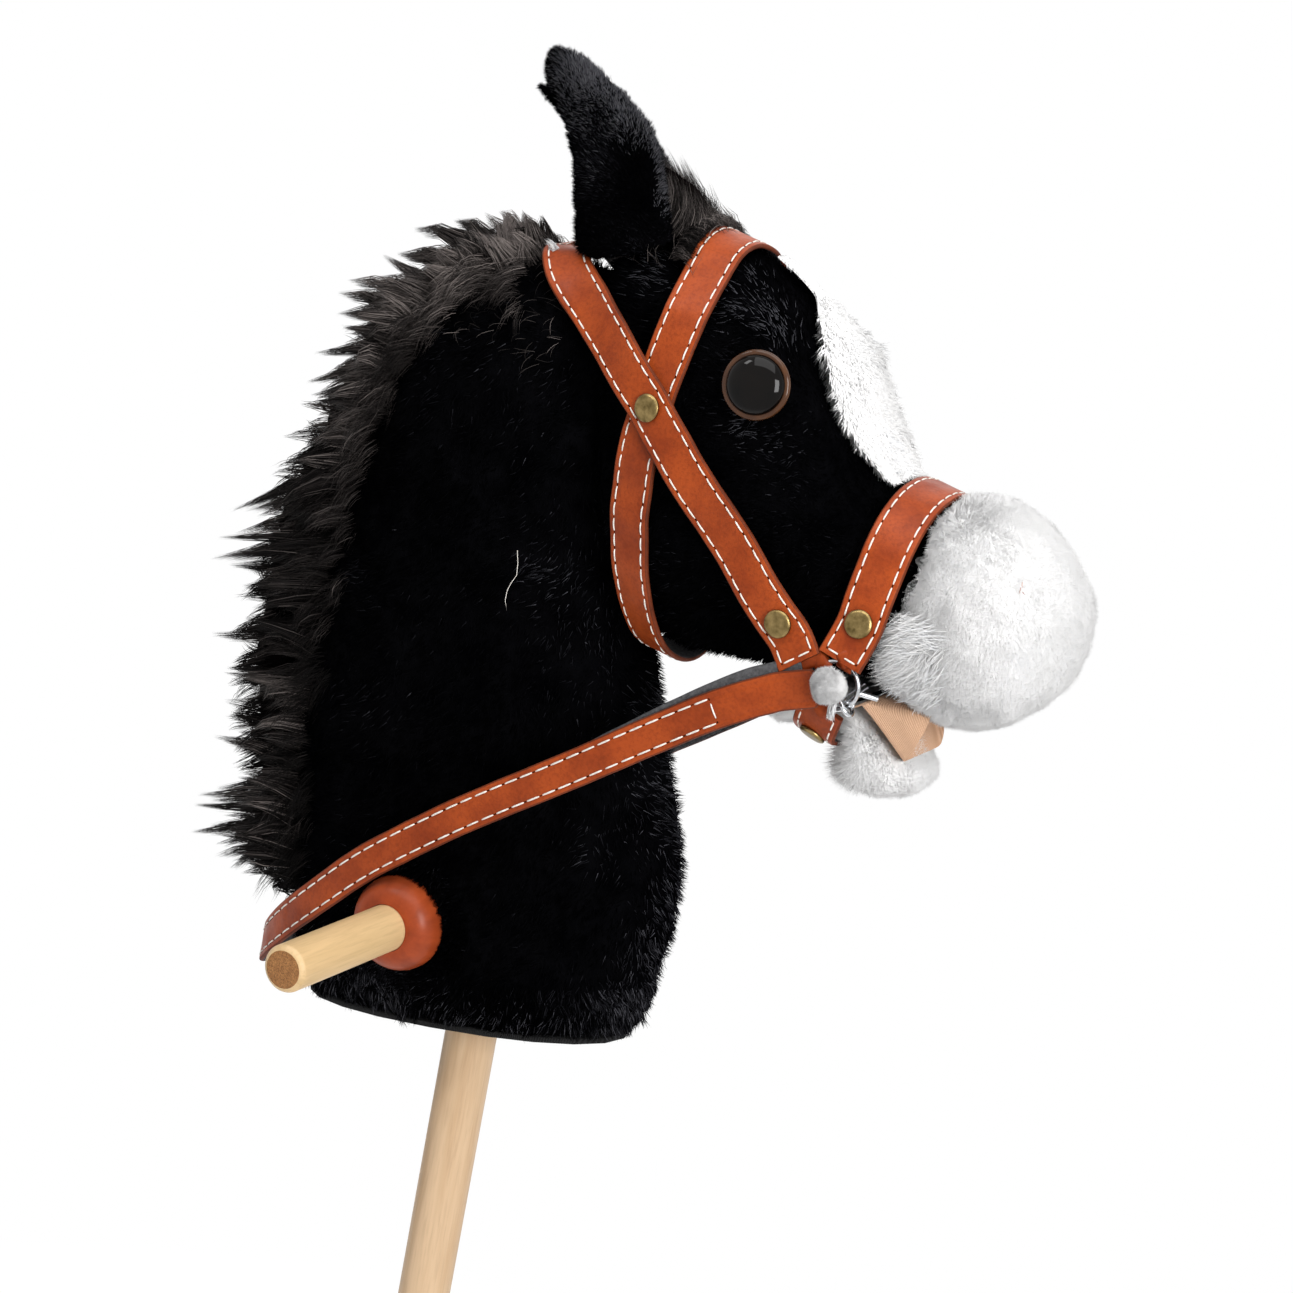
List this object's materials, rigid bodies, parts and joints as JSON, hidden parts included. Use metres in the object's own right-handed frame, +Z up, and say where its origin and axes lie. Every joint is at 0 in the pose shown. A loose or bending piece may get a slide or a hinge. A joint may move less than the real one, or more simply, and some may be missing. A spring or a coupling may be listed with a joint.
{
  "type": "hobby horse",
  "caption": "Hobby horse: a stuffed plush horse's head with an open mouth, domed eyes and a stitched leather bridle on a round wooden stick with a cross handle.",
  "frame": {"origin": "on the stick's axis, level with the cross handle, where a rider's hands hold the horse", "axes": "+Z up the stick towards the head, +X towards the nose, +Y to the horse's left"},
  "size_m": [0.4154, 0.28, 1.019],
  "materials": {
    "black_plush": "short black plush pile",
    "white_plush": "short white plush pile",
    "mane_pile": "long dark brown-black pile",
    "peach_cloth": "fine ribbed cloth",
    "base_cloth": "plain black cloth",
    "brown_leather": "semi-gloss saddle brown with cream stitching",
    "stick_wood": "pale, clear sealed",
    "handle_wood": "pale, varnished",
    "collar_gloss": "glossy brown",
    "eye_gloss": "glossy, black pupil in a brown rim",
    "lock_plastic": "natural",
    "rivet_brass": "antique",
    "chromed_wire": "polished",
    "steel": "zinc plated"
  },
  "bodies": {
    "root": {"stick": "stick_wood", "handle_bar": "handle_wood", "handle_bolt": "steel", "bolt_washer": "steel", "bolt_nut": "steel", "handle_collar_right": "collar_gloss", "handle_collar_left": "collar_gloss", "neck": "black_plush", "base_panel": "base_cloth", "head": "black_plush", "muzzle": "white_plush", "lower_jaw": "white_plush", "mouth_lining": "peach_cloth", "blaze": "white_plush", "ear_right": "black_plush", "ear_left": "black_plush", "mane": "mane_pile", "forelock": "mane_pile", "eye_right": "eye_gloss", "eye_left": "eye_gloss", "eye_lock_right": "lock_plastic", "eye_lock_left": "lock_plastic", "brow_throat_strap": "brown_leather", "crown_strap": "brown_leather", "noseband": "brown_leather", "chin_strap": "brown_leather", "bit_bar": "chromed_wire", "pompon_right": "white_plush", "pompon_left": "white_plush", "rivet_crossing_right": "rivet_brass", "rivet_crossing_left": "rivet_brass", "rivet_cheek_right": "rivet_brass", "rivet_cheek_left": "rivet_brass", "rivet_nose_right": "rivet_brass", "rivet_nose_left": "rivet_brass", "rivet_chin_right": "rivet_brass", "rivet_chin_left": "rivet_brass"},
    "rein": {"rein": "brown_leather"},
    "bit_ring_right": {"bit_ring_right": "chromed_wire"},
    "bit_ring_left": {"bit_ring_left": "chromed_wire"}
  },
  "joints": [
    {"name": "rein_lift", "type": "hinge", "parent": "root", "child": "rein", "pos_m": [0.17, 0, 0.176], "axis": [0, 1, 0], "range_deg": [0, 18]},
    {"name": "ring_turn_right", "type": "hinge", "parent": "root", "child": "bit_ring_right", "pos_m": [0.17, -0.0525, 0.176], "axis": [0, 1, 0], "continuous": true},
    {"name": "ring_turn_left", "type": "hinge", "parent": "root", "child": "bit_ring_left", "pos_m": [0.17, 0.0525, 0.176], "axis": [0, 1, 0], "continuous": true}
  ]
}
